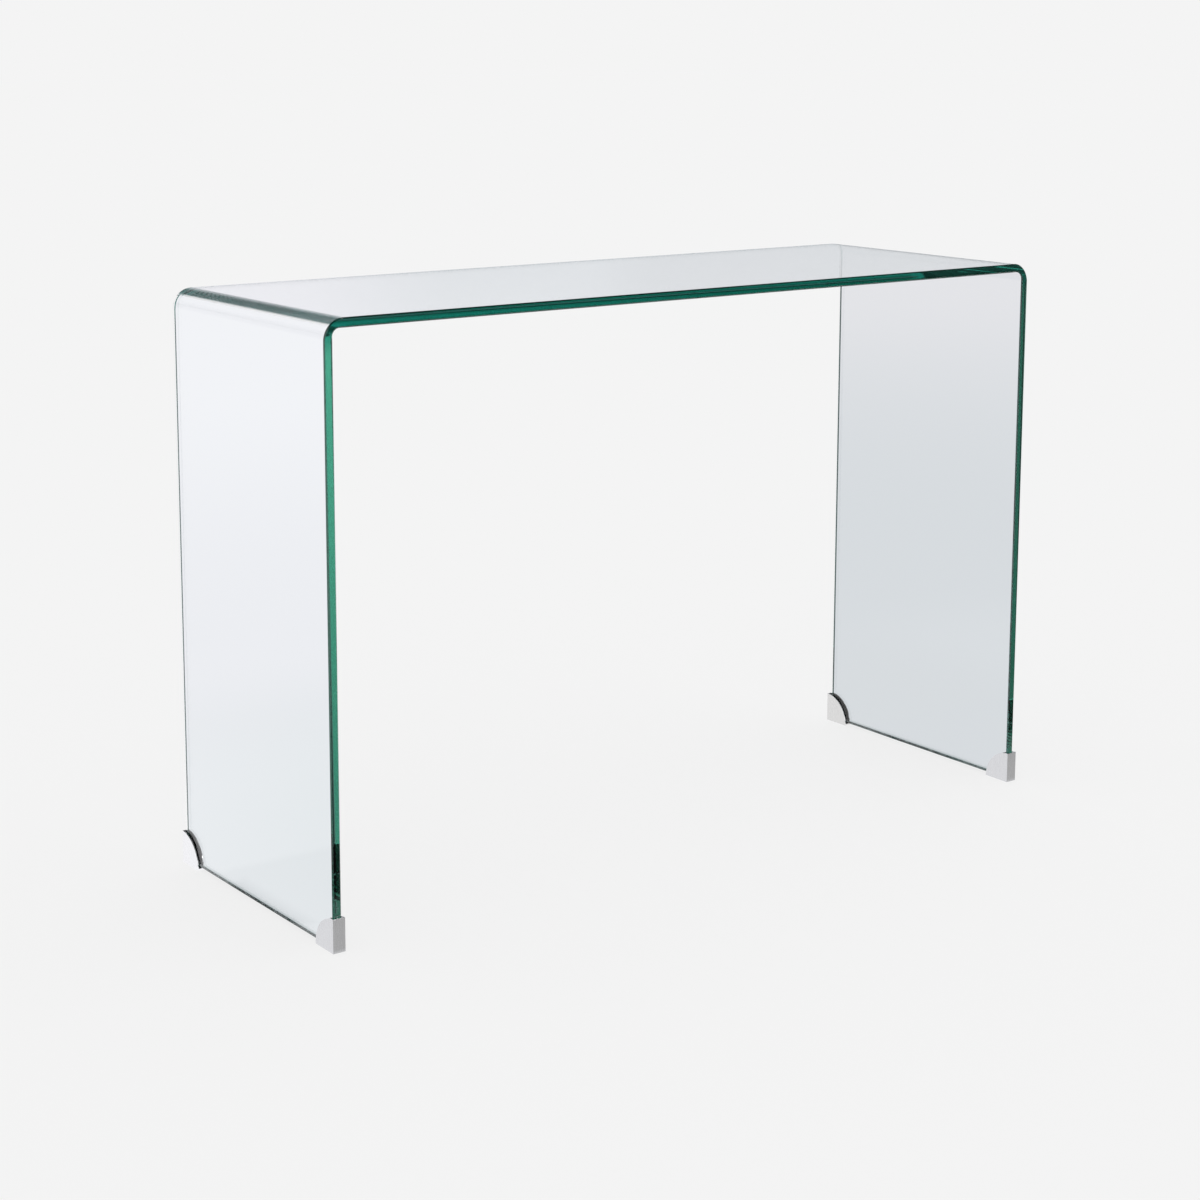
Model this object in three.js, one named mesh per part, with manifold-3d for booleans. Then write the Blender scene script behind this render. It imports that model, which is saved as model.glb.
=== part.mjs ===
// A console table: one sheet of clear glass, bent at both ends into an upside-down U,
// standing on four stainless steel foot caps. Each cap holds a lower corner of the glass
// in a thin rubber liner, and stands on a flat rubber pad.
//
// Millimetres. +X runs along the table, +Y to its back and +Z up. The origin is on the
// floor, under the middle of the table.

import * as THREE from 'three';
import { mergeVertices } from 'three/addons/utils/BufferGeometryUtils.js';
import Module from 'manifold-3d';

// The glass sheet
const TABLE_LENGTH = 1143;       // over the outer faces of the two legs
const TABLE_DEPTH = 388;         // over the front and back edges of the glass
const TABLE_HEIGHT = 762;        // floor to table top
const GLASS_THICKNESS = 12;
const BEND_OUTER_RADIUS = 27;
const BEND_INNER_RADIUS = 10;    // so the glass is a little thinner in the bend
const ARRIS = 0.6;               // small chamfer ground on every edge of the glass
const BEND_STEPS = 16;           // flats in each quarter turn

// The foot caps
const CAP_RADIUS = 43;           // of the quarter-round cheeks, about the outer bottom corner
const CHEEK_THICKNESS = 1.5;
const END_WALL_THICKNESS = 3;
const BASE_THICKNESS = 2.5;
const CAP_STEPS = 20;            // flats in a cheek's quarter round

// The liner between the glass and the cap
const LINER_SIDE = 0.5;          // its thickness beside the glass and at the glass's end
const LINER_BED = 1;             // its thickness under the glass
const LINER_SETBACK = 0.6;       // how far it stays behind the rim of the cap
const GAP = 0.25;                // clearance on each side of the liner and round the pad

// The floor pad in the underside of each cap
const PAD_WIDTH = 12;
const PAD_LENGTH = 34;
const PAD_THICKNESS = 1;
const PAD_CORNER_RADIUS = 3;
const PAD_PROUD = 0.5;           // how far the pad stands out below the cap

// Worked out from the above
const LINER_SPACE = LINER_SIDE + 2 * GAP;
const SLOT_WIDTH = GLASS_THICKNESS + 2 * LINER_SPACE;
const CAP_WIDTH = SLOT_WIDTH + 2 * CHEEK_THICKNESS;
const END_CLEARANCE = END_WALL_THICKNESS + LINER_SPACE;   // cap's end face to glass edge
const SLOT_FLOOR = PAD_PROUD + BASE_THICKNESS;
const GLASS_BOTTOM = SLOT_FLOOR + LINER_BED + 2 * GAP;
const LEG_X = (TABLE_LENGTH - GLASS_THICKNESS) / 2;       // middle of each leg
const CAP_END_Y = TABLE_DEPTH / 2 + END_CLEARANCE;        // outer end face of each cap
const POCKET_DEPTH = PAD_THICKNESS - PAD_PROUD + GAP;

const wasm = await Module();
wasm.setup();

// ---- Materials ---------------------------------------------------------------------

const clearGlass = new THREE.MeshStandardMaterial({
  name: 'clear_glass',
  color: 0xcfe6df,
  roughness: 0.03,
  metalness: 0,
  transparent: true,
  opacity: 0.35,
});
const stainlessSteel = new THREE.MeshStandardMaterial({
  name: 'stainless_steel',
  color: 0xc9c9cc,
  roughness: 0.25,
  metalness: 1,
});
const blackRubber = new THREE.MeshStandardMaterial({
  name: 'black_rubber',
  color: 0x1a1b1b,
  roughness: 0.8,
  metalness: 0,
});
const greyRubber = new THREE.MeshStandardMaterial({
  name: 'grey_rubber',
  color: 0x4b4d4e,
  roughness: 0.7,
  metalness: 0,
});

// ---- Helpers -----------------------------------------------------------------------

// A closed geometry as a solid that can be cut
function toSolid(geometry) {
  const bare = geometry.clone();
  bare.deleteAttribute('normal');
  bare.deleteAttribute('uv');
  const merged = mergeVertices(bare);
  return new wasm.Manifold(new wasm.Mesh({
    numProp: 3,
    vertProperties: Float32Array.from(merged.attributes.position.array),
    triVerts: Uint32Array.from(merged.index.array),
  }));
}

// A cut solid back as a flat-shaded geometry
function toGeometry(solid) {
  const mesh = solid.getMesh();
  const indexed = new THREE.BufferGeometry();
  indexed.setAttribute('position', new THREE.BufferAttribute(mesh.vertProperties, 3));
  indexed.setIndex(new THREE.BufferAttribute(mesh.triVerts, 1));
  const geometry = indexed.toNonIndexed();
  geometry.computeVertexNormals();
  return geometry;
}

// A box between two corners
function block(low, high) {
  const size = new THREE.Vector3().subVectors(high, low);
  const middle = new THREE.Vector3().addVectors(low, high).multiplyScalar(0.5);
  const geometry = new THREE.BoxGeometry(size.x, size.y, size.z);
  return geometry.translate(middle.x, middle.y, middle.z);
}

// A quarter round of the given width, centred on X = 0. Its arc turns about the X axis and
// its two straight sides stand at y = endInset and z = floorInset.
function quarterRound(radius, endInset, floorInset, width) {
  const topAngle = Math.acos(endInset / radius);
  const toeAngle = Math.asin(floorInset / radius);
  const outline = new THREE.Shape();
  outline.moveTo(endInset, floorInset);
  outline.lineTo(endInset, radius * Math.sin(topAngle));
  outline.absarc(0, 0, radius, topAngle, toeAngle, true);
  outline.closePath();
  const geometry = new THREE.ExtrudeGeometry(outline, {
    depth: width,
    bevelEnabled: false,
    curveSegments: CAP_STEPS / 2,
  });
  const inward = new THREE.Vector3(0, 1, 0);
  const up = new THREE.Vector3(0, 0, 1);
  const across = new THREE.Vector3(1, 0, 0);
  const standUp = new THREE.Matrix4().makeBasis(inward, up, across);
  return geometry.translate(0, 0, -width / 2).applyMatrix4(standUp);
}

// A flat plate with rounded corners, centred on X = 0 and Y = 0, its underside at z = 0
function roundedPlate(width, length, cornerRadius, thickness) {
  const x = width / 2 - cornerRadius;
  const y = length / 2 - cornerRadius;
  const outline = new THREE.Shape();
  outline.moveTo(x + cornerRadius, -y);
  outline.absarc(x, y, cornerRadius, 0, Math.PI / 2, false);
  outline.absarc(-x, y, cornerRadius, Math.PI / 2, Math.PI, false);
  outline.absarc(-x, -y, cornerRadius, Math.PI, 1.5 * Math.PI, false);
  outline.absarc(x, -y, cornerRadius, 1.5 * Math.PI, 2 * Math.PI, false);
  return new THREE.ExtrudeGeometry(outline, {
    depth: thickness,
    bevelEnabled: false,
    curveSegments: 3,
  });
}

// ---- Glass sheet -------------------------------------------------------------------

// The section of the sheet in X and Z: up one leg, over the top, down the other leg and
// back along the inner face
function glassSection() {
  const outerX = TABLE_LENGTH / 2;
  const innerX = outerX - GLASS_THICKNESS;
  const outerBendX = outerX - BEND_OUTER_RADIUS;
  const outerBendZ = TABLE_HEIGHT - BEND_OUTER_RADIUS;
  const innerBendX = innerX - BEND_INNER_RADIUS;
  const innerBendZ = TABLE_HEIGHT - GLASS_THICKNESS - BEND_INNER_RADIUS;
  const quarter = Math.PI / 2;

  const outline = new THREE.Shape();
  outline.moveTo(-outerX + ARRIS, GLASS_BOTTOM);
  outline.lineTo(-outerX, GLASS_BOTTOM + ARRIS);
  outline.absarc(-outerBendX, outerBendZ, BEND_OUTER_RADIUS, 2 * quarter, quarter, true);
  outline.absarc(outerBendX, outerBendZ, BEND_OUTER_RADIUS, quarter, 0, true);
  outline.lineTo(outerX, GLASS_BOTTOM + ARRIS);
  outline.lineTo(outerX - ARRIS, GLASS_BOTTOM);
  outline.lineTo(innerX + ARRIS, GLASS_BOTTOM);
  outline.lineTo(innerX, GLASS_BOTTOM + ARRIS);
  outline.absarc(innerBendX, innerBendZ, BEND_INNER_RADIUS, 0, quarter, false);
  outline.absarc(-innerBendX, innerBendZ, BEND_INNER_RADIUS, quarter, 2 * quarter, false);
  outline.lineTo(-innerX, GLASS_BOTTOM + ARRIS);
  outline.lineTo(-innerX - ARRIS, GLASS_BOTTOM);
  outline.closePath();
  return outline;
}

function makeGlassSheet() {
  const geometry = new THREE.ExtrudeGeometry(glassSection(), {
    depth: TABLE_DEPTH - 2 * ARRIS,
    curveSegments: BEND_STEPS / 2,
    bevelEnabled: true,
    bevelThickness: ARRIS,
    bevelSize: ARRIS,
    bevelOffset: -ARRIS,
    bevelSegments: 1,
  });
  geometry.translate(0, 0, ARRIS - TABLE_DEPTH / 2);
  geometry.rotateX(Math.PI / 2);
  const sheet = new THREE.Mesh(geometry, clearGlass);
  sheet.name = 'bent_glass_sheet';
  return sheet;
}

// ---- Foot: a cap, its liner and its floor pad --------------------------------------
// Each is made with the cap's outer end face on y = 0, the cap reaching inward along +Y,
// the middle of the glass leg on x = 0 and the floor on z = 0.

// A slotted quarter-round block: two cheeks, an end wall and a base, open along its arc
function capGeometry() {
  const far = 2 * CAP_RADIUS;
  const body = toSolid(quarterRound(CAP_RADIUS, 0, 0, CAP_WIDTH).translate(0, 0, PAD_PROUD));
  const slot = toSolid(block(
    new THREE.Vector3(-SLOT_WIDTH / 2, END_WALL_THICKNESS, SLOT_FLOOR),
    new THREE.Vector3(SLOT_WIDTH / 2, far, far),
  ));
  const pocketPlate = roundedPlate(
    PAD_WIDTH + 2 * GAP,
    PAD_LENGTH + 2 * GAP,
    PAD_CORNER_RADIUS + GAP,
    PAD_PROUD + POCKET_DEPTH,
  );
  const pocket = toSolid(pocketPlate.translate(0, CAP_RADIUS / 2, 0));
  return toGeometry(body.subtract(slot).subtract(pocket));
}

// A thin quarter-round boot that wraps the corner of the glass on four sides
function linerGeometry() {
  const far = 2 * CAP_RADIUS;
  const outside = quarterRound(
    CAP_RADIUS - LINER_SETBACK,
    END_WALL_THICKNESS + GAP,
    BASE_THICKNESS + GAP,
    GLASS_THICKNESS + 2 * (GAP + LINER_SIDE),
  );
  const boot = toSolid(outside.translate(0, 0, PAD_PROUD));
  const glassRoom = toSolid(block(
    new THREE.Vector3(-GLASS_THICKNESS / 2 - GAP, END_CLEARANCE - GAP, GLASS_BOTTOM - GAP),
    new THREE.Vector3(GLASS_THICKNESS / 2 + GAP, far, far),
  ));
  return toGeometry(boot.subtract(glassRoom));
}

function padGeometry() {
  const plate = roundedPlate(PAD_WIDTH, PAD_LENGTH, PAD_CORNER_RADIUS, PAD_THICKNESS);
  return plate.translate(0, CAP_RADIUS / 2, 0);
}

// The three pieces of one foot, under the corner of the leg on the given side and end
function makeFoot(place, side, end) {
  const pieces = [
    ['foot_cap', capGeometry(), stainlessSteel],
    ['glass_liner', linerGeometry(), blackRubber],
    ['floor_pad', padGeometry(), greyRubber],
  ];
  const foot = new THREE.Group();
  for (const [piece, geometry, material] of pieces) {
    const mesh = new THREE.Mesh(geometry, material);
    mesh.name = `${piece}_${place}`;
    foot.add(mesh);
  }
  foot.position.set(side * LEG_X, end * CAP_END_Y, 0);
  foot.rotation.z = end < 0 ? 0 : Math.PI;
  return foot;
}

// ---- The table ---------------------------------------------------------------------

const table = new THREE.Group();
table.name = 'console_table';
table.add(makeGlassSheet());
table.add(makeFoot('front_left', -1, -1));
table.add(makeFoot('front_right', 1, -1));
table.add(makeFoot('back_left', -1, 1));
table.add(makeFoot('back_right', 1, 1));

export default table;
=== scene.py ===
# %% [markdown]
# # A console table of bent glass
# The real table is one sheet of 12 mm clear glass, bent at both ends so that it stands as
# an upside-down U. Four slotted caps of stainless steel hold its lower corners, each with
# a thin rubber liner and a pad under it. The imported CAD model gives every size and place,
# so the lesson starts by loading it and keeping its box. Nothing here is fitted by eye:
# each piece is built where its CAD node stands.

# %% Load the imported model
import math

import bmesh
import bpy
from mathutils import Euler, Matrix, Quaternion, Vector


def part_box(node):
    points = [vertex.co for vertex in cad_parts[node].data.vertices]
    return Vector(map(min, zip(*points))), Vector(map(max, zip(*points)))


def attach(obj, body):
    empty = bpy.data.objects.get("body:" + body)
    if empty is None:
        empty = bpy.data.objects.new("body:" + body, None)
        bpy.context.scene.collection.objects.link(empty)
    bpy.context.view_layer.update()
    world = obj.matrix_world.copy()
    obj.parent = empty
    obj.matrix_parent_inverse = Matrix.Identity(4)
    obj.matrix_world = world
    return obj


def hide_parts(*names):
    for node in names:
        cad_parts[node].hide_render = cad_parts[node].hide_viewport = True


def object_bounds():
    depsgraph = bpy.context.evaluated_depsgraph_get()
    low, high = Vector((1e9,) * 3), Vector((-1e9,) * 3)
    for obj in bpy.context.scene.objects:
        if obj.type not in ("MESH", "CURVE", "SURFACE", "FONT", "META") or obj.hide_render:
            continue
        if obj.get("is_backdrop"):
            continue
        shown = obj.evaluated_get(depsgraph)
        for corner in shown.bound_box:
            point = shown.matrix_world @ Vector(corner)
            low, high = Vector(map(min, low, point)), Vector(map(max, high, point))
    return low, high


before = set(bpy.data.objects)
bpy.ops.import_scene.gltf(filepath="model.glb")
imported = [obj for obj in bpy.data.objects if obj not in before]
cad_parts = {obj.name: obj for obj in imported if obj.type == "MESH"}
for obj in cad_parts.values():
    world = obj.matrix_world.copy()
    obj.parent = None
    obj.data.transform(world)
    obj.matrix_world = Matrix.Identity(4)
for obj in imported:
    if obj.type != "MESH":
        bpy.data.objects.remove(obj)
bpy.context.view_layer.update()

MM = 0.001
glass_low, glass_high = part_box("bent_glass_sheet")
cap_low, cap_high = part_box("foot_cap_front_left")
leg_x = (cap_low.x + cap_high.x) / 2                # middle of the left leg
thickness = 2 * (leg_x - glass_low.x)
print("glass from", [round(v / MM, 1) for v in glass_low],
      "to", [round(v / MM, 1) for v in glass_high], "mm")
print("the sheet is", round(thickness / MM, 2), "mm thick")

# %% [markdown]
# ## Camera
# The table is seen from its front left, a little above the top. A long lens three metres
# away keeps the perspective calm. An upright edge leans when a camera tips down, so the
# lens is also shifted a little, as on a view camera, and the camera tips down less.

# %% Set up the camera
CAMERA_PLACE = (-1.9252, -2.5820, 1.0967)
CAMERA_YAW = math.radians(36.16)                    # from looking along +Y, towards +X
CAMERA_PITCH = math.radians(9.385)                  # below the horizon
CAMERA_ROLL = math.radians(0.168)
SENSOR_WIDTH = 36                                   # in millimetres, as is the lens
LENS_LENGTH = 72.14
LENS_SHIFT = -0.15

lens = bpy.data.cameras.new("camera")
lens.sensor_width = SENSOR_WIDTH
lens.lens = LENS_LENGTH
lens.shift_y = LENS_SHIFT
camera = bpy.data.objects.new("camera", lens)
camera.location = CAMERA_PLACE
aim = Euler((math.pi / 2 - CAMERA_PITCH, 0, -CAMERA_YAW)).to_quaternion()
camera.rotation_mode = "QUATERNION"
camera.rotation_quaternion = aim @ Quaternion((0, 0, 1), CAMERA_ROLL)
bpy.context.scene.collection.objects.link(camera)
bpy.context.scene.camera = camera
print("camera is", round(camera.location.length, 2), "m from the middle of the floor")

# %% [markdown]
# ## Node helpers
# Every finish below is a small network of nodes. These helpers add one node, or one step
# of arithmetic, so that the finishes themselves stay short enough to read. Much of the work
# is done by masks: numbers from 0 to 1 that say how far something holds at a place.

# %% Helpers for node trees
def add_node(tree, kind, values=None, **settings):
    """A new node with its settings, and with plain values for its sockets by name."""
    new = tree.nodes.new(kind)
    for key, value in settings.items():
        setattr(new, key, value)
    for key, value in (values or {}).items():
        new.inputs[key].default_value = value
    return new


def plug(tree, value, socket):
    """Sets a socket to a number or a colour, or links it to another node's output."""
    if isinstance(value, bpy.types.NodeSocket):
        tree.links.new(value, socket)
    else:
        socket.default_value = value


def split(tree, vector):
    """The X, Y and Z of a vector, as three links."""
    new = add_node(tree, "ShaderNodeSeparateXYZ")
    tree.links.new(vector, new.inputs[0])
    return new.outputs[0], new.outputs[1], new.outputs[2]


print("the scene starts with", len(bpy.data.materials), "materials")

# %% Helpers for arithmetic and masks
def calc(tree, operation, *values):
    """One step of arithmetic on links or numbers; gives its output."""
    new = add_node(tree, "ShaderNodeMath", operation=operation)
    for value, socket in zip(values, new.inputs):
        plug(tree, value, socket)
    return new.outputs[0]


def size_of(tree, value):
    """A number without its sign."""
    return calc(tree, "ABSOLUTE", value)


def fade(tree, value, start, end, low=0.0, high=1.0):
    """Goes smoothly from low to high as a value goes from start to end."""
    new = add_node(tree, "ShaderNodeMapRange", interpolation_type="SMOOTHSTEP")
    plug(tree, value, new.inputs["Value"])
    limits = {"From Min": start, "From Max": end, "To Min": low, "To Max": high}
    for name, limit in limits.items():
        new.inputs[name].default_value = limit
    return new.outputs[0]


def both(tree, first, second):
    """How far two masks, each from 0 to 1, hold at the same place."""
    return calc(tree, "MULTIPLY", first, second)


def either(tree, first, second):
    """The stronger of two masks."""
    return calc(tree, "MAXIMUM", first, second)


def outside(tree, mask):
    """Where a mask doesn't hold."""
    return calc(tree, "SUBTRACT", 1.0, mask)


# %% Helpers for colours
def grey(value):
    """A neutral colour."""
    return (value, value, value)


def blend(tree, factor, first, second):
    """Mixes two colours, given as links or as red, green and blue."""
    new = add_node(tree, "ShaderNodeMix", data_type="RGBA")
    plug(tree, factor, new.inputs["Factor"])
    for colour, index in ((first, 6), (second, 7)):
        if not isinstance(colour, bpy.types.NodeSocket):
            colour = (*colour, 1)
        plug(tree, colour, new.inputs[index])
    return new.outputs[2]


# %% [markdown]
# ## Studio
# Clear glass and polished steel have hardly any colour of their own, so they look only as
# good as the room round them. The camera itself sees plain pale paper. Light that has met
# the glass or the steel sees a room: paper that greys to one side, a dark ceiling and two
# soft lamps. A set of real cards and lamps would do the same with many more objects, so
# here the world's own nodes paint the room, by direction.

# %% Directions in the room
# A bearing is in degrees from +Y towards +X, as on a compass with +Y as north. A rise is
# the sine of the height above the horizon, so it is 0 on the horizon and 1 overhead
PAPER = 0.905                                       # the pale background, as light

world = bpy.data.worlds.new("studio")
bpy.context.scene.world = world
world.use_nodes = True
room = world.node_tree
room.nodes.clear()
away = add_node(room, "ShaderNodeTexCoord").outputs["Generated"]
east, north, rise = split(room, away)
bearing = calc(room, "DEGREES", calc(room, "ARCTAN2", east, north))


def off_bearing(middle):
    """How many degrees a direction is off a compass bearing, either way."""
    apart = size_of(room, calc(room, "SUBTRACT", bearing, middle))
    return calc(room, "MINIMUM", apart, calc(room, "SUBTRACT", 360.0, apart))


print("directions in the room:", len(room.nodes), "nodes")

# %% The room straight through a pane
LEFT_FAR = (0.89, 0.905, 0.94)
RIGHT_FAR = (0.76, 0.765, 0.795)
RIGHT_SLOPE = 0.78                                  # metres east for each metre north
sideways = calc(room, "SUBTRACT", east, calc(room, "MULTIPLY", north, RIGHT_SLOPE))
through = blend(room, fade(room, sideways, -0.15, 0.15), LEFT_FAR, RIGHT_FAR)
print("right of the room:", round(RIGHT_FAR[1] / LEFT_FAR[1], 2), "of the light on the left")

# %% [markdown]
# ## What steel and glass mirror
# Polished steel shows the room the other way round, and a pane does so faintly. Behind
# the table the room is pale, and brightest on the left. In front it is grey with a darker
# patch, where a camera and its stand would be, and the ceiling is dark. These tones give
# each flat of a cap its own brightness, which is what makes the corners read as square.

# %% The mirrored room
BEHIND_LEFT = (0.82, 0.815, 0.865)
BEHIND_RIGHT = (0.67, 0.70, 0.73)
FAR_LEFT = grey(1.3)
IN_FRONT = (0.485, 0.487, 0.498)
PATCH = grey(0.06)
CEILING = grey(0.05)
behind = blend(room, fade(room, bearing, 28, 33), BEHIND_LEFT, BEHIND_RIGHT)
mirror = blend(room, fade(room, off_bearing(-115.0), 40, 25), behind, FAR_LEFT)
low_down = fade(room, rise, 0.10, 0.02)
in_front = both(room, low_down, fade(room, off_bearing(165.0), 60, 45))
mirror = blend(room, in_front, mirror, IN_FRONT)
patch = both(room, low_down, fade(room, off_bearing(145.0), 22, 16))
mirror = blend(room, patch, mirror, PATCH)
height = calc(room, "SUBTRACT", rise, fade(room, east, 0.10, -0.25, 0, 0.4))
mirror = blend(room, fade(room, height, 0.22, 0.42), mirror, CEILING)
print("mirrored room:", len(room.nodes), "nodes so far")

# %% Two soft lamps
LAMP = 4.0
LAMP_FADE = 3                                       # degrees over which its rim fades


def add_lamp(colour, towards, width):
    """Adds a soft round lamp in a given direction, its width in degrees."""
    facing = add_node(room, "ShaderNodeVectorMath", operation="DOT_PRODUCT")
    room.links.new(away, facing.inputs[0])
    facing.inputs[1].default_value = Vector(towards).normalized()
    core = math.cos(math.radians(width / 2))
    rim = math.cos(math.radians(width / 2 + LAMP_FADE))
    return blend(room, fade(room, facing.outputs["Value"], rim, core), colour, grey(LAMP))


mirror = add_lamp(mirror, (0.42, -0.27, 0.87), 9)
mirror = add_lamp(mirror, (0.42, -0.84, 0.35), 5)
print("each lamp is", round(LAMP / PAPER, 1), "times as bright as the paper")

# %% [markdown]
# ## Light that turns inside the sheet
# Light that enters a sheet by its edge bounces between the two faces before it leaves, and
# leaves far from where it was heading. So an edge shows a darker part of the room than the
# pane beside it, and so does a bend. A real set needs black cards placed just so for this.
# Here the node that counts the bounces of a ray does the same: light that turned inside
# the sheet sees a darker room than light that went straight through.

# %% The room after one turn
DARK_GREEN = (0.02, 0.045, 0.04)
up_behind = both(room, fade(room, rise, 0.20, 0.26), fade(room, bearing, 22.5, 25.5))
turned = blend(room, up_behind, grey(PAPER), DARK_GREEN)
print("behind the table, after one turn:", round(DARK_GREEN[1] / PAPER, 2), "of the paper")

# %% The room after many turns
CARD_LOW, CARD_HIGH = grey(0.58), grey(0.95)        # a bright card on the left
LOW, HIGHER, NORTH = grey(0.12), grey(0.25), grey(0.42)
DEEP_LOW, DEEP_HIGH = (0.74, 0.63, 0.70), (0.02, 0.05, 0.045)
card = both(room, fade(room, off_bearing(-32.0), 9, 5), fade(room, rise, 0.10, 0.02))
card_tone = blend(room, fade(room, rise, -0.32, -0.10), CARD_LOW, CARD_HIGH)
low_tone = blend(room, fade(room, rise, -0.65, -0.35), LOW, HIGHER)
far_north = both(room, fade(room, off_bearing(0.0), 24, 14), fade(room, rise, -0.52, -0.44))
low_tone = blend(room, far_north, low_tone, NORTH)
inside = blend(room, card, low_tone, card_tone)
deep = blend(room, fade(room, rise, 0.6, 0.75), DEEP_LOW, DEEP_HIGH)
print("after many turns:", len(room.nodes), "nodes so far")

# %% Choose by kind of ray and by bounces
# Ray Depth, which is the number of bounces and one more. A ray through one pane comes out
# with 3, and one that turned once inside the sheet with 4
ONE_TURN = 4.0
TWO_PANES = 5.5                                     # a ray through two panes is just below
THREE_PANES = 7.5
MANY_TURNS = 28.5

rays = add_node(room, "ShaderNodeLightPath").outputs
depth = rays["Ray Depth"]
level = fade(room, size_of(room, rise), 0.22, 0.17)
straight = both(room, calc(room, "LESS_THAN", depth, THREE_PANES), level)
inside = blend(room, straight, inside, through)
one_turn = calc(room, "COMPARE", depth, ONE_TURN, 0.5)
through = blend(room, one_turn, through, turned)
through = blend(room, calc(room, "GREATER_THAN", depth, TWO_PANES), through, inside)
through = blend(room, calc(room, "GREATER_THAN", depth, MANY_TURNS), through, deep)
colour = blend(room, rays["Is Glossy Ray"], grey(PAPER), mirror)
colour = blend(room, rays["Is Transmission Ray"], colour, through)
sky = add_node(room, "ShaderNodeBackground", {"Strength": 1})
room.links.new(colour, sky.inputs["Color"])
room_out = add_node(room, "ShaderNodeOutputWorld")
room.links.new(sky.outputs[0], room_out.inputs["Surface"])
print("whole room:", len(room.nodes), "nodes and", len(room.links), "links")

# %% [markdown]
# ## Floor
# The paper also lies under the table. Most of its brightness is its own glow, so that it
# meets the background without a line, and the rest is light that falls on it, so that
# the table still leaves a faint shadow. A floor lit by lamps alone would need them tuned
# until the seam went. Through the glass the paper greys close to the table in painted
# shade. The steel sees it grey in front and brighter at the back, where a painted pool of
# light lifts it above its glow, and painted shadows lie beside and under the legs.

# %% Paper that glows and still takes a shadow
LIT_SHARE = 0.12                                    # of its brightness; the rest is glow
FLOOR_SIZE = 80
bpy.ops.object.select_all(action="DESELECT")
bpy.ops.mesh.primitive_plane_add(size=FLOOR_SIZE, location=(0, 0, 0))
floor = bpy.context.object
floor.name = "floor"
paper = bpy.data.materials.new("floor_paper")
paper.use_nodes = True
tree = paper.node_tree
tree.nodes.clear()
lit = add_node(tree, "ShaderNodeBsdfDiffuse", {"Color": (*grey(LIT_SHARE), 1)})
glow = add_node(tree, "ShaderNodeEmission",
                {"Color": (*grey(PAPER), 1), "Strength": 1 - LIT_SHARE})
plain = add_node(tree, "ShaderNodeAddShader")
tree.links.new(lit.outputs[0], plain.inputs[0])
tree.links.new(glow.outputs[0], plain.inputs[1])
print("floor", FLOOR_SIZE, "m wide, glows with", round(PAPER * (1 - LIT_SHARE), 3))

# %% The floor through a pane
# Places on the floor are in metres from the middle of the table
# Painted shade: seen through a pane, the paper greys close to the table.
LEFT_NEAR, LEFT_MIDDLE = (0.72, 0.765, 0.79), (0.83, 0.845, 0.885)
RIGHT_NEAR = (0.655, 0.69, 0.72)
spot = add_node(tree, "ShaderNodeTexCoord").outputs["Object"]
length = add_node(tree, "ShaderNodeVectorMath", operation="LENGTH")
tree.links.new(spot, length.inputs[0])
distance = length.outputs["Value"]
spot_x, spot_y, _ = split(tree, spot)
left_tone = blend(tree, fade(tree, distance, 1.0, 4.0), LEFT_MIDDLE, LEFT_FAR)
left_tone = blend(tree, fade(tree, distance, 0.3, 1.1), LEFT_NEAR, left_tone)
right_tone = blend(tree, fade(tree, distance, 2.0, 7.0), RIGHT_NEAR, RIGHT_FAR)
to_right = calc(tree, "SUBTRACT", spot_x, calc(tree, "MULTIPLY", spot_y, RIGHT_SLOPE))
through_tone = blend(tree, fade(tree, to_right, -0.45, 0.0), left_tone, right_tone)
print("floor through a pane:", len(tree.nodes), "nodes so far")

# %% The floor in the steel: front, middle and back
# In the steel the paper is grey in front of the table, and at the back a painted pool of light
# makes it brighter than its glow, most on the left.
FRONT_FLOOR, MIDDLE_FLOOR = grey(0.48), (0.88, 0.885, 0.905)
BACK_FLOOR_LEFT, BACK_FLOOR_RIGHT = (1.15, 1.15, 1.17), (0.92, 0.915, 0.90)
front_edge = (glass_low.y - 16 * MM, glass_low.y + 4 * MM)
mirror_tone = blend(tree, fade(tree, spot_y, *front_edge), FRONT_FLOOR, MIDDLE_FLOOR)
back_tone = blend(tree, fade(tree, spot_x, 0.0, 0.3), BACK_FLOOR_LEFT, BACK_FLOOR_RIGHT)
not_far = fade(tree, spot_y, 0.8, 0.4)
at_back = both(tree, fade(tree, spot_y, 0.12, 0.15), not_far)
mirror_tone = blend(tree, at_back, mirror_tone, back_tone)
print("floor in the steel:", len(tree.nodes), "nodes so far")

# %% The floor in the steel: past the back feet, and beside the legs
# Painted shadow: in the steel the paper is dark close beside each leg.
SHADOW_BESIDE_LEG = grey(0.12)
past_end = fade(tree, spot_y, glass_high.y + 6 * MM, glass_high.y + 12 * MM)
for foot_x in (leg_x, -leg_x):
    from_cheek = fade(tree, spot_x, foot_x - 10 * MM, foot_x - 5 * MM)
    in_line = both(tree, from_cheek, fade(tree, spot_x, foot_x + 0.4, foot_x + 0.1))
    behind_foot = both(tree, both(tree, past_end, not_far), in_line)
    mirror_tone = blend(tree, behind_foot, mirror_tone, FRONT_FLOOR)
from_leg = size_of(tree, calc(tree, "ADD", size_of(tree, spot_x), leg_x))
past_foot = fade(tree, size_of(tree, spot_y), 0.06, 0.11)
clear_of_leg = either(tree, fade(tree, from_leg, 0.015, 0.05), past_foot)
mirror_tone = blend(tree, clear_of_leg, SHADOW_BESIDE_LEG, mirror_tone)
print("floor beside the legs:", len(tree.nodes), "nodes so far")

# %% Choose by kind of ray
SHADOW_UNDER_LEG = grey(0.02)                              # painted shadow under a leg, for light turned many times in it


def choose(factor, first, second):
    """One shader or another, by a mask."""
    new = add_node(tree, "ShaderNodeMixShader")
    for value, socket in zip((factor, first, second), new.inputs):
        plug(tree, value, socket)
    return new.outputs[0]


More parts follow.
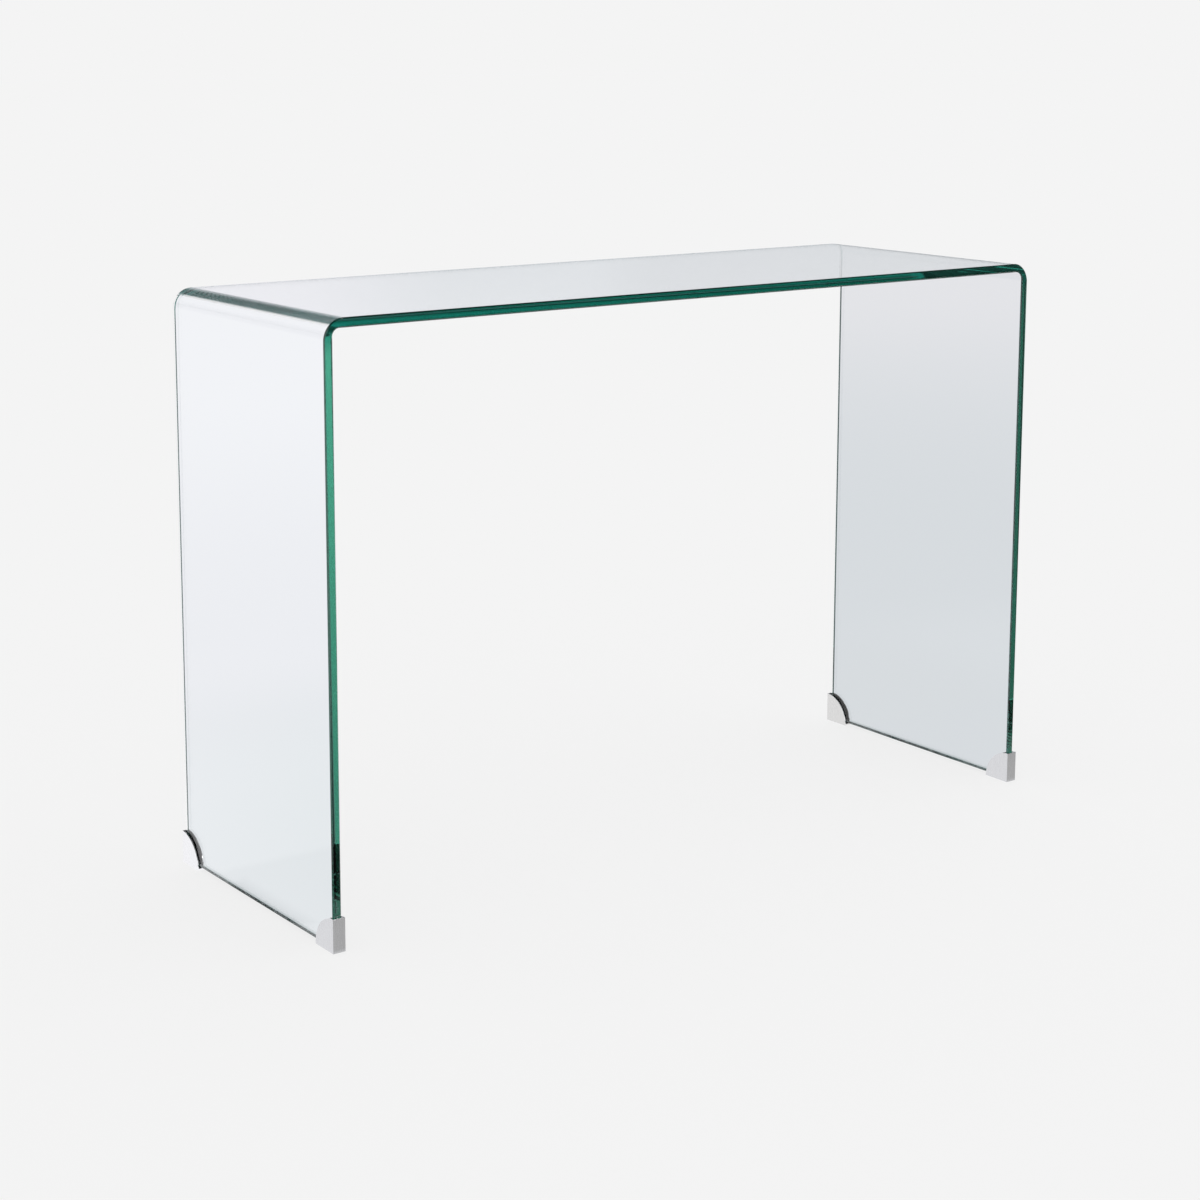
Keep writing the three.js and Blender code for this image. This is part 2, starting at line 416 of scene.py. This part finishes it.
rays = add_node(tree, "ShaderNodeLightPath").outputs
through_glass, mirrored, depth = (
    rays[name] for name in ("Is Transmission Ray", "Is Glossy Ray", "Ray Depth"))
many_turns = calc(tree, "GREATER_THAN", depth, MANY_TURNS - 1)
shadow_under_leg = both(tree, many_turns, fade(tree, from_leg, 0.05, 0.02))
through_tone = blend(tree, shadow_under_leg, through_tone, SHADOW_UNDER_LEG)
seen = add_node(tree, "ShaderNodeEmission", {"Strength": 1})
tree.links.new(blend(tree, through_glass, mirror_tone, through_tone), seen.inputs["Color"])
shown = choose(either(tree, through_glass, mirrored), plain.outputs[0], seen.outputs[0])
print("each ray sees its own floor:", len(tree.nodes), "nodes so far")

# %% Leave turned light to the room
# The paper is clear to light that turned inside the sheet, and to the steel well in front
# of the table, so both see the room behind it. Ray Depth is one less here than in the room
one_turn = calc(tree, "COMPARE", depth, ONE_TURN - 1, 0.5)
more = calc(tree, "GREATER_THAN", depth, TWO_PANES - 1)
turned_light = both(tree, through_glass, either(tree, one_turn, more))
turned_light = both(tree, turned_light, outside(tree, shadow_under_leg))
front_mirror = both(tree, mirrored, fade(tree, spot_y, -0.32, -0.38))
front_mirror = both(tree, front_mirror, outside(tree, through_glass))
clear = add_node(tree, "ShaderNodeBsdfTransparent")
shown = choose(either(tree, turned_light, front_mirror), shown, clear.outputs[0])
out = add_node(tree, "ShaderNodeOutputMaterial")
tree.links.new(shown, out.inputs["Surface"])
floor.data.materials.append(paper)
floor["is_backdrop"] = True
print("whole floor:", len(tree.nodes), "nodes")

# %% [markdown]
# ## Modelling helpers
# The pieces are modelled with Blender's own operators, which act on whatever is selected.
# These helpers select one object, or the edges and faces that pass a test of place.

# %% Select one thing, or parts of it
def select_only(thing):
    """One object selected and active, and nothing else."""
    bpy.ops.object.select_all(action="DESELECT")
    thing.select_set(True)
    bpy.context.view_layer.objects.active = thing


def pick(thing, kind, test):
    """In edit mode, selects only the edges or faces that pass a test, and counts them."""
    bpy.ops.mesh.select_mode(type=kind)
    bpy.ops.mesh.select_all(action="DESELECT")
    mesh = bmesh.from_edit_mesh(thing.data)
    chosen = [part for part in (mesh.edges if kind == "EDGE" else mesh.faces) if test(part)]
    for part in chosen:
        part.select_set(True)
    mesh.select_flush_mode()
    bmesh.update_edit_mesh(thing.data)
    return len(chosen)


# %% Settle, modify and measure
def settle(thing):
    """Puts the object's place into its mesh, so that the object sits at the origin."""
    select_only(thing)
    bpy.ops.object.transform_apply(location=True, rotation=True, scale=True)


def apply_modifier(thing, name, kind, **settings):
    """Adds a modifier and applies it at once."""
    select_only(thing)
    step = thing.modifiers.new(name, kind)
    for key, value in settings.items():
        setattr(step, key, value)
    bpy.ops.object.modifier_apply(modifier=step.name)


def measure(thing):
    """Volume in cubic centimetres, and the number of open edges.

    The CAD meshes are loose triangles, so a copy is merged before its edges are counted.
    """
    check = bmesh.new()
    check.from_mesh(thing.data)
    bmesh.ops.remove_doubles(check, verts=check.verts, dist=1e-7)
    open_edges = sum(not edge.is_manifold for edge in check.edges)
    said = (round(check.calc_volume() * 1e6, 2), open_edges)
    check.free()
    return said


# %% [markdown]
# ## Glass sheet
# A sheet of glass is bent over a mould in a kiln, so both of its faces run unbroken from
# foot to foot. It could be cut from a block with booleans, but then the bends would be
# faceted. Here each face is drawn as one ribbon: a plane for the leg, its top edge spun
# round the bend, run across the top, spun again and run down. The two ribbons are then
# bridged, which makes the edges of the sheet in one go, and a bevel of one step grinds
# the narrow arris that keeps a real edge from cutting.

# %% The two faces of the sheet
BEND_STEPS = 48                                     # facets round each bend
TOUCH = 0.1 * MM                                    # how close counts as the same place
OUTER_BEND = 27 * MM                                # radius of the outer face
INNER_BEND = 10 * MM                                # radius of the inner face
LEAD_IN = 3 * MM                                    # short flat strip beside each bend


def bent_face(name, inset, bend_radius):
    """The outer or inner face of the sheet, from the left foot over to the right foot."""
    side_x = glass_low.x + inset
    top_z = glass_high.z - inset
    leg_top = top_z - bend_radius - LEAD_IN
    leg_height = leg_top - glass_low.z
    bend_x, bend_z = side_x + bend_radius, top_z - bend_radius
    bpy.ops.object.select_all(action="DESELECT")
    bpy.ops.mesh.primitive_plane_add(
        size=1, rotation=(0, math.pi / 2, 0),
        location=(side_x, 0, glass_low.z + leg_height / 2))
    face = bpy.context.object
    face.name = name
    face.scale = (leg_height, glass_high.y - glass_low.y, 1)
    settle(face)

    def run(x, z):
        bpy.ops.mesh.extrude_region_move(TRANSFORM_OT_translate={"value": (x, 0, z)})

    def bend(x, z):
        bpy.ops.mesh.spin(steps=BEND_STEPS, angle=math.pi / 2,
                          center=(x, 0, z), axis=(0, -1, 0))

    bpy.ops.object.mode_set(mode="EDIT")
    pick(face, "EDGE", lambda edge: all(v.co.z > leg_top - TOUCH for v in edge.verts))
    run(0, LEAD_IN)
    bend(bend_x, bend_z)
    run(LEAD_IN, 0)
    run(-2 * (bend_x + LEAD_IN), 0)
    run(LEAD_IN, 0)
    bend(-bend_x, bend_z)
    run(0, -LEAD_IN)
    run(0, -leg_height)
    bpy.ops.object.mode_set(mode="OBJECT")
    print(name, [round(v / MM, 1) for v in face.dimensions], "mm")
    return face


sheet = bent_face("glass_sheet", 0, OUTER_BEND)
inner_face = bent_face("inner_face", thickness, INNER_BEND)

# %% Join the faces and grind the arrises
ARRIS = 1.6 * MM                                    # how far it reaches into each face
select_only(sheet)
inner_face.select_set(True)
bpy.ops.object.join()
bpy.ops.object.mode_set(mode="EDIT")
pick(sheet, "EDGE", lambda edge: edge.is_boundary)
bpy.ops.mesh.bridge_edge_loops(type="SINGLE")
bpy.ops.mesh.select_all(action="SELECT")
bpy.ops.mesh.normals_make_consistent(inside=False)
bpy.ops.object.mode_set(mode="OBJECT")
apply_modifier(sheet, "arris", "BEVEL", width=ARRIS, segments=1,
               limit_method="ANGLE", angle_limit=math.radians(40))
select_only(sheet)
bpy.ops.object.shade_smooth_by_angle(angle=math.radians(20))
print("glass sheet", measure(sheet), "CAD", measure(bpy.data.objects["bent_glass_sheet"]))

# %% [markdown]
# ## Clear glass
# Ordinary float glass holds a little iron, which swallows red light. Through 12 mm that
# hardly shows, but seen along the sheet it is a deep green. A volume that absorbs light
# does this truly, in the same way as the glass. The ground edges and the narrow arrises
# beside them get a tint as well, because most light there has been turned so often inside
# the sheet that it would take a great many bounces to colour it by the volume alone. How
# dark that tint is at each place is painted shade: the top edge is darker than the leg
# edges, each arris darker than its edge, and the back arrises and the bottom edge nearly
# black.

# %% Body of the glass
IRON_GREEN = (0, 0.60, 0.45)
IRON_DENSITY = 0.12                                 # for each metre that light travels

glass = bpy.data.materials.new("clear_float_glass")
glass.use_nodes = True
tree = glass.node_tree
surface = tree.nodes["Principled BSDF"]
surface.inputs["Roughness"].default_value = 0
surface.inputs["IOR"].default_value = 1.52
surface.inputs["Transmission Weight"].default_value = 1
body = add_node(tree, "ShaderNodeVolumeAbsorption",
                {"Color": (*IRON_GREEN, 1), "Density": IRON_DENSITY})
tree.links.new(body.outputs[0], tree.nodes["Material Output"].inputs["Volume"])
print("glass bends light by", round(surface.inputs["IOR"].default_value, 2))

# %% Where the edges are
SLANTED, SQUARE = 0.3, 0.9                          # how much of a normal points one way

place = add_node(tree, "ShaderNodeTexCoord").outputs["Object"]
facing = add_node(tree, "ShaderNodeNewGeometry").outputs["True Normal"]
place_x, place_y, place_z = split(tree, place)
_, facing_y, facing_z = split(tree, facing)
endways, upwards = size_of(tree, facing_y), size_of(tree, facing_z)
at_floor = calc(tree, "LESS_THAN", place_z, glass_low.z + 2 * MM)
on_edge = either(tree, calc(tree, "GREATER_THAN", endways, SLANTED), at_floor)
square_on = either(tree, calc(tree, "GREATER_THAN", endways, SQUARE),
                   calc(tree, "GREATER_THAN", upwards, SQUARE))
top_share = fade(tree, place_z, glass_high.z - 45 * MM, glass_high.z - 20 * MM)
past_bend = calc(tree, "GREATER_THAN", size_of(tree, place_x), glass_high.x - 30 * MM)
print("edges are found with", len(tree.nodes), "nodes")

# %% Colours of the edges and arrises
# A leg edge has the plain green. The darker tints after it are painted shade.
LEG_EDGE = (0.085, 0.44, 0.30)
TOP_EDGE = (0.010, 0.20, 0.15)
TOP_EDGE_LOW = (0.001, 0.10, 0.06)                  # the shaded lower part of the top edge
LEG_ARRIS = (0.04, 0.25, 0.19)
BACK_ARRIS = (0.008, 0.016, 0.015)
TOP_ARRIS = (0.01, 0.08, 0.06)
FLOOR_EDGE = (0.004, 0.02, 0.016)
SHADE_NEAR_FLOOR = (0.58, 0.62, 0.61)                     # painted shade just above that edge
print("an edge in the top keeps", round(TOP_EDGE[1] / LEG_EDGE[1], 2), "of a leg edge's green")

# %% Tint the glass by place
# Painted shade: every edge tint but the leg edge's green is darkened by place.
underside = glass_high.z - thickness
low_part = fade(tree, place_z, underside + 2.5 * MM, underside + 5 * MM)
top_edge = blend(tree, low_part, TOP_EDGE_LOW, TOP_EDGE)
top_edge = blend(tree, past_bend, top_edge, TOP_EDGE)
edge = blend(tree, top_share, LEG_EDGE, top_edge)
leg_arris = blend(tree, calc(tree, "GREATER_THAN", place_y, 0.0), LEG_ARRIS, BACK_ARRIS)
arris = blend(tree, top_share, leg_arris, TOP_ARRIS)
edge_green = blend(tree, square_on, arris, edge)
edge_green = blend(tree, at_floor, edge_green, FLOOR_EDGE)
# Painted shade: the panes are darker just above the bottom edge.
above_floor = fade(tree, place_z, glass_low.z + 2 * MM, glass_low.z + 6 * MM)
face = blend(tree, above_floor, SHADE_NEAR_FLOOR, grey(1))
tint = blend(tree, on_edge, face, edge_green)
tree.links.new(tint, surface.inputs["Base Color"])
sheet.data.materials.clear()
sheet.data.materials.append(glass)
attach(sheet, "root")
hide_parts("bent_glass_sheet")
print("glass material:", len(tree.nodes), "nodes")

# %% [markdown]
# ## Foot caps
# A foot cap is a quarter disc of stainless steel, 17 mm wide, with a slot cut from its
# round side for the glass. It could be folded from sheet, but its rims are square and its
# corners tight, which says that it is milled or cast. So it is cut from a turned disc: two
# bisects keep a quarter, one block cuts the slot, and a rounded plate the pocket for the
# pad. A narrow bevel then breaks every edge, because a sharp edge catches no light.

# %% Make a quarter disc or a block
FOOT = "front_left"
DISC_SIDES = 128


def quarter_disc(name, radius, width, end_y, floor_z):
    """A quarter disc about the foot's outer bottom corner, cut off at end_y and floor_z."""
    bpy.ops.object.select_all(action="DESELECT")
    bpy.ops.mesh.primitive_cylinder_add(
        vertices=DISC_SIDES, radius=radius, depth=width, rotation=(0, math.pi / 2, 0),
        location=(leg_x, cap_low.y, cap_low.z))
    disc = bpy.context.object
    disc.name = name
    settle(disc)
    bpy.ops.object.mode_set(mode="EDIT")
    for point, normal in (((0, end_y, 0), (0, 1, 0)), ((0, 0, floor_z), (0, 0, 1))):
        bpy.ops.mesh.select_all(action="SELECT")
        bpy.ops.mesh.bisect(plane_co=point, plane_no=normal, use_fill=True, clear_inner=True)
    bpy.ops.object.mode_set(mode="OBJECT")
    return disc


def block(name, low, high):
    """A plain block between two corners."""
    bpy.ops.object.select_all(action="DESELECT")
    bpy.ops.mesh.primitive_cube_add(size=1, location=(low + high) / 2)
    piece = bpy.context.object
    piece.name = name
    piece.scale = high - low
    settle(piece)
    return piece


# %% Cut, round and bevel
def cut_away(piece, cutter):
    """Cuts one closed piece out of another, and throws the cutter away."""
    apply_modifier(piece, "cut", "BOOLEAN", operation="DIFFERENCE", solver="EXACT",
                   object=cutter)
    bpy.data.objects.remove(cutter, do_unlink=True)


def round_upright_edges(piece, radius):
    """Rounds the upright edges of a plate."""
    select_only(piece)
    bpy.ops.object.mode_set(mode="EDIT")
    pick(piece, "EDGE", lambda edge: abs(edge.verts[0].co.z - edge.verts[1].co.z) > TOUCH
         and (edge.verts[0].co.xy - edge.verts[1].co.xy).length < TOUCH / 10)
    bpy.ops.mesh.bevel(offset=radius, segments=8, affect="EDGES")
    bpy.ops.object.mode_set(mode="OBJECT")


def break_edges(piece, width, segments):
    """Bevels every corner, and keeps the flat faces flat in the shading."""
    apply_modifier(piece, "broken_edges", "BEVEL", width=width, segments=segments,
                   limit_method="ANGLE", angle_limit=math.radians(30))
    select_only(piece)
    bpy.ops.object.shade_smooth_by_angle(angle=math.radians(40))
    apply_modifier(piece, "even_shading", "WEIGHTED_NORMAL", keep_sharp=True)


# %% The first cap
liner_low, liner_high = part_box(f"glass_liner_{FOOT}")
pad_low, pad_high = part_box(f"floor_pad_{FOOT}")
CAP_RADIUS = cap_high.y - cap_low.y
CAP_WIDTH = cap_high.x - cap_low.x
CHEEK = 1.5 * MM                                    # steel beside the slot
END_WALL = 3 * MM                                   # steel at its closed end
BASE = 2.5 * MM                                     # steel under it
CLEARANCE = 0.25 * MM                               # room for bonding, on every side
PAD_ROUND = 3 * MM
CAP_BEVEL, LINER_BEVEL, PAD_BEVEL = 0.35 * MM, 0.12 * MM, 0.15 * MM
FAR = 0.1                                           # well past the foot

cap = quarter_disc("steel_cap_" + FOOT, CAP_RADIUS, CAP_WIDTH, cap_low.y, cap_low.z)
slot_low = cap_low + Vector((CHEEK, END_WALL, BASE))
slot_high = Vector((cap_high.x - CHEEK, cap_low.y + FAR, cap_low.z + FAR))
cut_away(cap, block("slot", slot_low, slot_high))
ease = Vector((CLEARANCE, CLEARANCE, CLEARANCE))
pocket = block("pad_pocket", pad_low - ease, pad_high + ease)
round_upright_edges(pocket, PAD_ROUND + CLEARANCE)
cut_away(cap, pocket)
break_edges(cap, CAP_BEVEL, 3)
print("cap", measure(cap), "CAD", measure(bpy.data.objects["foot_cap_" + FOOT]))

# %% [markdown]
# ## Liners
# A thin boot of black rubber keeps the glass off the steel, in the slot and under the
# corner of the sheet. It is cut like the cap, as a smaller quarter disc with room for the
# glass taken out, and ends just short of the rim.

# %% The first liner
SHORT_OF_RIM = 0.6 * MM
liner = quarter_disc("rubber_liner_" + FOOT, CAP_RADIUS - SHORT_OF_RIM,
                     liner_high.x - liner_low.x, liner_low.y, liner_low.z)
room_high = Vector((glass_low.x + thickness + CLEARANCE, cap_low.y + FAR, cap_low.z + FAR))
cut_away(liner, block("glass_room", glass_low - ease, room_high))
break_edges(liner, LINER_BEVEL, 2)
print("liner", measure(liner), "CAD", measure(bpy.data.objects["glass_liner_" + FOOT]))

# %% [markdown]
# ## Floor pads
# Each cap stands on a small glued pad of grey rubber that keeps the steel off the floor.
# It is a block with its upright edges rounded and its rims eased.

# %% The first pad
pad = block("rubber_pad_" + FOOT, pad_low, pad_high)
round_upright_edges(pad, PAD_ROUND)
break_edges(pad, PAD_BEVEL, 2)
print("pad", measure(pad), "CAD", measure(bpy.data.objects["floor_pad_" + FOOT]))

# %% [markdown]
# ## Brushed and polished steel
# The cap's flat faces are brushed with a fine belt, so they carry short upright scratches
# and give a soft reflection. Its round rims and the bevels are polished, and mirror the
# room sharply. One material does both: the distance from the foot's outer corner says
# where the rim is, and stretched noise makes the scratches.

# %% Where the rim is
steel = bpy.data.materials.new("brushed_stainless_steel")
steel.use_nodes = True
tree = steel.node_tree
surface = tree.nodes["Principled BSDF"]
surface.inputs["Metallic"].default_value = 1
spot = add_node(tree, "ShaderNodeTexCoord").outputs["Object"]
_, spot_y, spot_z = split(tree, spot)
from_end = calc(tree, "SUBTRACT", -cap_low.y, size_of(tree, spot_y))
from_floor = calc(tree, "SUBTRACT", spot_z, cap_low.z)
squares = [calc(tree, "POWER", side, 2.0) for side in (from_end, from_floor)]
from_corner = calc(tree, "SQRT", calc(tree, "ADD", *squares))
on_rim = fade(tree, from_corner, CAP_RADIUS - 0.5 * MM, CAP_RADIUS - 0.2 * MM)
off_rim = outside(tree, on_rim)
print("the rim is", round(CAP_RADIUS / MM, 1), "mm from the foot's outer corner")

# %% Brushing
FINE = (2600, 60, 3)                                # across, along, detail
BROAD = (420, 14, 2)
FINE_SHARE = 0.6


def streaks(across, along, detail):
    """Noise stretched upright: streaks per metre across and along the brushing."""
    stretched = add_node(tree, "ShaderNodeMapping")
    stretched.inputs["Scale"].default_value = (across, across, along)
    tree.links.new(spot, stretched.inputs["Vector"])
    noise = add_node(tree, "ShaderNodeTexNoise",
                     {"Scale": 1, "Detail": detail, "Roughness": 0.6})
    tree.links.new(stretched.outputs[0], noise.inputs["Vector"])
    return noise.outputs["Fac"]


fine = calc(tree, "MULTIPLY", streaks(*FINE), FINE_SHARE)
broad = calc(tree, "MULTIPLY", streaks(*BROAD), 1 - FINE_SHARE)
scratches = calc(tree, "ADD", fine, broad)
print("a fine scratch is about", round(1 / (FINE[0] * MM), 2), "mm wide")

# %% Sheen, tone and relief of the steel
NOISE_RANGE = (0.35, 0.65)                          # most of the noise lies in here
SATIN_ROUGH, POLISHED_ROUGH = (0.16, 0.30), 0.05
SATIN_DARK, SATIN_LIGHT = (0.745, 0.745, 0.755), (0.785, 0.785, 0.795)
POLISHED = (0.80, 0.80, 0.81)
satin_rough = fade(tree, scratches, *NOISE_RANGE, *SATIN_ROUGH)
rim_rough = calc(tree, "MULTIPLY", on_rim, POLISHED_ROUGH)
rough = calc(tree, "ADD", both(tree, satin_rough, off_rim), rim_rough)
tree.links.new(rough, surface.inputs["Roughness"])
satin_tone = blend(tree, fade(tree, scratches, *NOISE_RANGE), SATIN_DARK, SATIN_LIGHT)
tree.links.new(blend(tree, on_rim, satin_tone, POLISHED), surface.inputs["Base Color"])
relief = add_node(tree, "ShaderNodeBump", {"Distance": 0.01 * MM})
tree.links.new(off_rim, relief.inputs["Strength"])
tree.links.new(scratches, relief.inputs["Height"])
tree.links.new(relief.outputs[0], surface.inputs["Normal"])
print("steel:", len(tree.nodes), "nodes")

# %% [markdown]
# ## Rubber
# The liners and the pads are moulded rubber: matt, nearly black or dark grey, with a fine
# grain from the mould and a few paler specks of dust and talc.

# %% Black and grey rubber
BLACK, DUSTY_BLACK = (0.012, 0.013, 0.013), (0.03, 0.031, 0.031)
GREY, DUSTY_GREY = (0.055, 0.058, 0.06), (0.10, 0.104, 0.107)
MATT = (0.62, 0.82)                                 # roughness, from the smoothest specks up


def rubber(name, dark, pale, grain):
    """Moulded rubber: two tones, a grain in specks per metre and a matt finish."""
    made = bpy.data.materials.new(name)
    made.use_nodes = True
    nodes = made.node_tree
    shader = nodes.nodes["Principled BSDF"]
    position = add_node(nodes, "ShaderNodeTexCoord").outputs["Object"]
    noise = add_node(nodes, "ShaderNodeTexNoise", {"Scale": grain, "Detail": 4})
    nodes.links.new(position, noise.inputs["Vector"])
    specks = noise.outputs["Fac"]
    tone = blend(nodes, fade(nodes, specks, 0.35, 0.75), dark, pale)
    nodes.links.new(tone, shader.inputs["Base Color"])
    nodes.links.new(fade(nodes, specks, 0.3, 0.7, *MATT), shader.inputs["Roughness"])
    relief = add_node(nodes, "ShaderNodeBump", {"Strength": 0.5, "Distance": 0.03 * MM})
    nodes.links.new(specks, relief.inputs["Height"])
    nodes.links.new(relief.outputs[0], shader.inputs["Normal"])
    return made


black_rubber = rubber("black_rubber_moulded", BLACK, DUSTY_BLACK, 1800)
grey_rubber = rubber("grey_rubber_moulded", GREY, DUSTY_GREY, 1500)
print("rubber:", black_rubber.name, "and", grey_rubber.name)

# %% [markdown]
# ## Sealant in the slot
# A film of milky sealant at the closed end of each slot bonds the cap to the glass. It
# can't be seen from outside, but a look into a front edge runs along the whole sheet to
# the end of the back slot, and bare black rubber there would turn that stretch of the
# edge black. The film could be a piece of its own. It is too thin for that, so it is
# painted on the one face of the liner that meets the end of the glass.

# %% Paint the sealant
SEALANT = (0.74, 0.78, 0.77)
tree = black_rubber.node_tree
surface = tree.nodes["Principled BSDF"]
rubber_tone = surface.inputs["Base Color"].links[0].from_socket
facing = add_node(tree, "ShaderNodeNewGeometry").outputs["True Normal"]
spot = add_node(tree, "ShaderNodeTexCoord").outputs["Object"]
_, facing_y, _ = split(tree, facing)
_, spot_y, _ = split(tree, spot)
film_y = glass_high.y + CLEARANCE
endways = calc(tree, "GREATER_THAN", size_of(tree, facing_y), SQUARE)
off_film = size_of(tree, calc(tree, "SUBTRACT", size_of(tree, spot_y), film_y))
at_film = calc(tree, "LESS_THAN", off_film, CLEARANCE / 2)
tone = blend(tree, both(tree, endways, at_film), rubber_tone, SEALANT)
tree.links.new(tone, surface.inputs["Base Color"])
print("the film is", round(film_y / MM, 2), "mm from the middle of the table")

# %% [markdown]
# ## Four feet
# The three pieces of the first foot are copied to the other corners. The right ones are
# moved along the table, and the back ones are turned half a turn, each with its own mesh.

# %% Copy the foot to every corner
CORNERS = {"front_left": (1, 1), "front_right": (-1, 1),
           "back_left": (1, -1), "back_right": (-1, -1)}
KINDS = (
    (cap, "steel_cap", "foot_cap", "stainless_steel", steel),
    (liner, "rubber_liner", "glass_liner", "black_rubber", black_rubber),
    (pad, "rubber_pad", "floor_pad", "grey_rubber", grey_rubber),
)


def copy_to(piece, name, side, end):
    """Copies a piece of the front left foot to the given side and end of the table."""
    select_only(piece)
    bpy.ops.object.duplicate()
    twin = bpy.context.object
    twin.name = name
    if end < 0:
        twin.rotation_euler.z = math.pi
        side = -side
    if side < 0:
        twin.location.x = -2 * leg_x * end
    settle(twin)
    return twin


for piece, kind, node, slot, finish in KINDS:
    piece.data.materials.clear()
    piece.data.materials.append(finish)
    for corner, (side, end) in CORNERS.items():
        twin = piece if corner == FOOT else copy_to(piece, f"{kind}_{corner}", side, end)
        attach(twin, "root")
        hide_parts(f"{node}_{corner}")
        low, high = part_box(f"{node}_{corner}")
        misses = [abs(end_of(c[i] for c in twin.bound_box) - want[i])
                  for end_of, want in ((min, low), (max, high)) for i in range(3)]
        print(twin.name, "is within", round(max(misses) / MM, 2), "mm of its CAD box")

# %% [markdown]
# ## Bounces and sizes
# Light that enters a sheet by its edge can turn a hundred times before it leaves, and each
# turn is a bounce. With Blender's usual dozen such light stops short, and the edges would
# be black. So the limit is set as high as those rays need. The lesson ends with the box of
# the finished table, which should be that of the CAD model.

# %% Allow many bounces
MOST_BOUNCES = 256
cycles = bpy.context.scene.cycles
cycles.max_bounces = MOST_BOUNCES
cycles.glossy_bounces = MOST_BOUNCES
cycles.transmission_bounces = MOST_BOUNCES
cycles.diffuse_bounces = 3
bpy.context.scene.view_settings.view_transform = "Standard"
print("light may bounce", cycles.max_bounces, "times")

# %% Write down the sizes
new_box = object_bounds()
table_size = [round((high - low) / MM, 1) for low, high in zip(*new_box)]
print("the finished table is", table_size, "mm")
